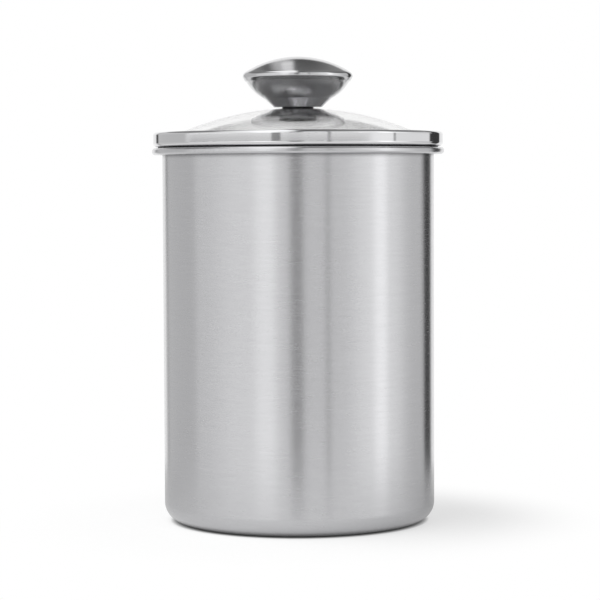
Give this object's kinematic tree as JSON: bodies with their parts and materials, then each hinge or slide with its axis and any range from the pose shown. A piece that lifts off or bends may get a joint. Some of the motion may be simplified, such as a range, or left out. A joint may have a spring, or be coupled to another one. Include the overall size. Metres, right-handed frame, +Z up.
{
  "type": "food canister",
  "caption": "Round brushed steel food canister with a curled rim and a lift-off domed glass lid that has a steel band, a silicone gasket and a hollow steel knob.",
  "frame": {"origin": "centre of the base, on the plane it stands on", "axes": "+Z up along the axis all pieces are turned about; the picture is taken from -Y, and X and Y are otherwise alike"},
  "size_m": [0.131, 0.131, 0.2087],
  "materials": {
    "brushed_body": "brushed round the wall, satin",
    "polished_band": "polished",
    "knob_steel": "fine turned brush, near polished",
    "hardware": "plain, satin",
    "clear_glass": "clear, polished",
    "silicone": "matt, charcoal",
    "grey_silicone": "matt, mid grey"
  },
  "bodies": {
    "canister": {"canister_body": "brushed_body"},
    "seal": {"lid_gasket": "silicone"},
    "lid": {"lid_glass": "clear_glass", "lid_band": "polished_band", "knob_washer": "silicone", "lid_grommet": "grey_silicone", "lower_washer": "hardware", "knob_screw": "hardware", "knob_nut": "hardware", "knob_bowl": "knob_steel", "knob_cap": "knob_steel"}
  },
  "joints": [
    {"name": "lid_lift", "type": "slide", "parent": "canister", "child": "seal", "axis": [0, 0, 1], "range_m": [0, 0.15]},
    {"name": "lid_turn", "type": "hinge", "parent": "seal", "child": "lid", "pos_m": [0, 0, 0.1718], "axis": [0, 0, 1], "continuous": true}
  ]
}
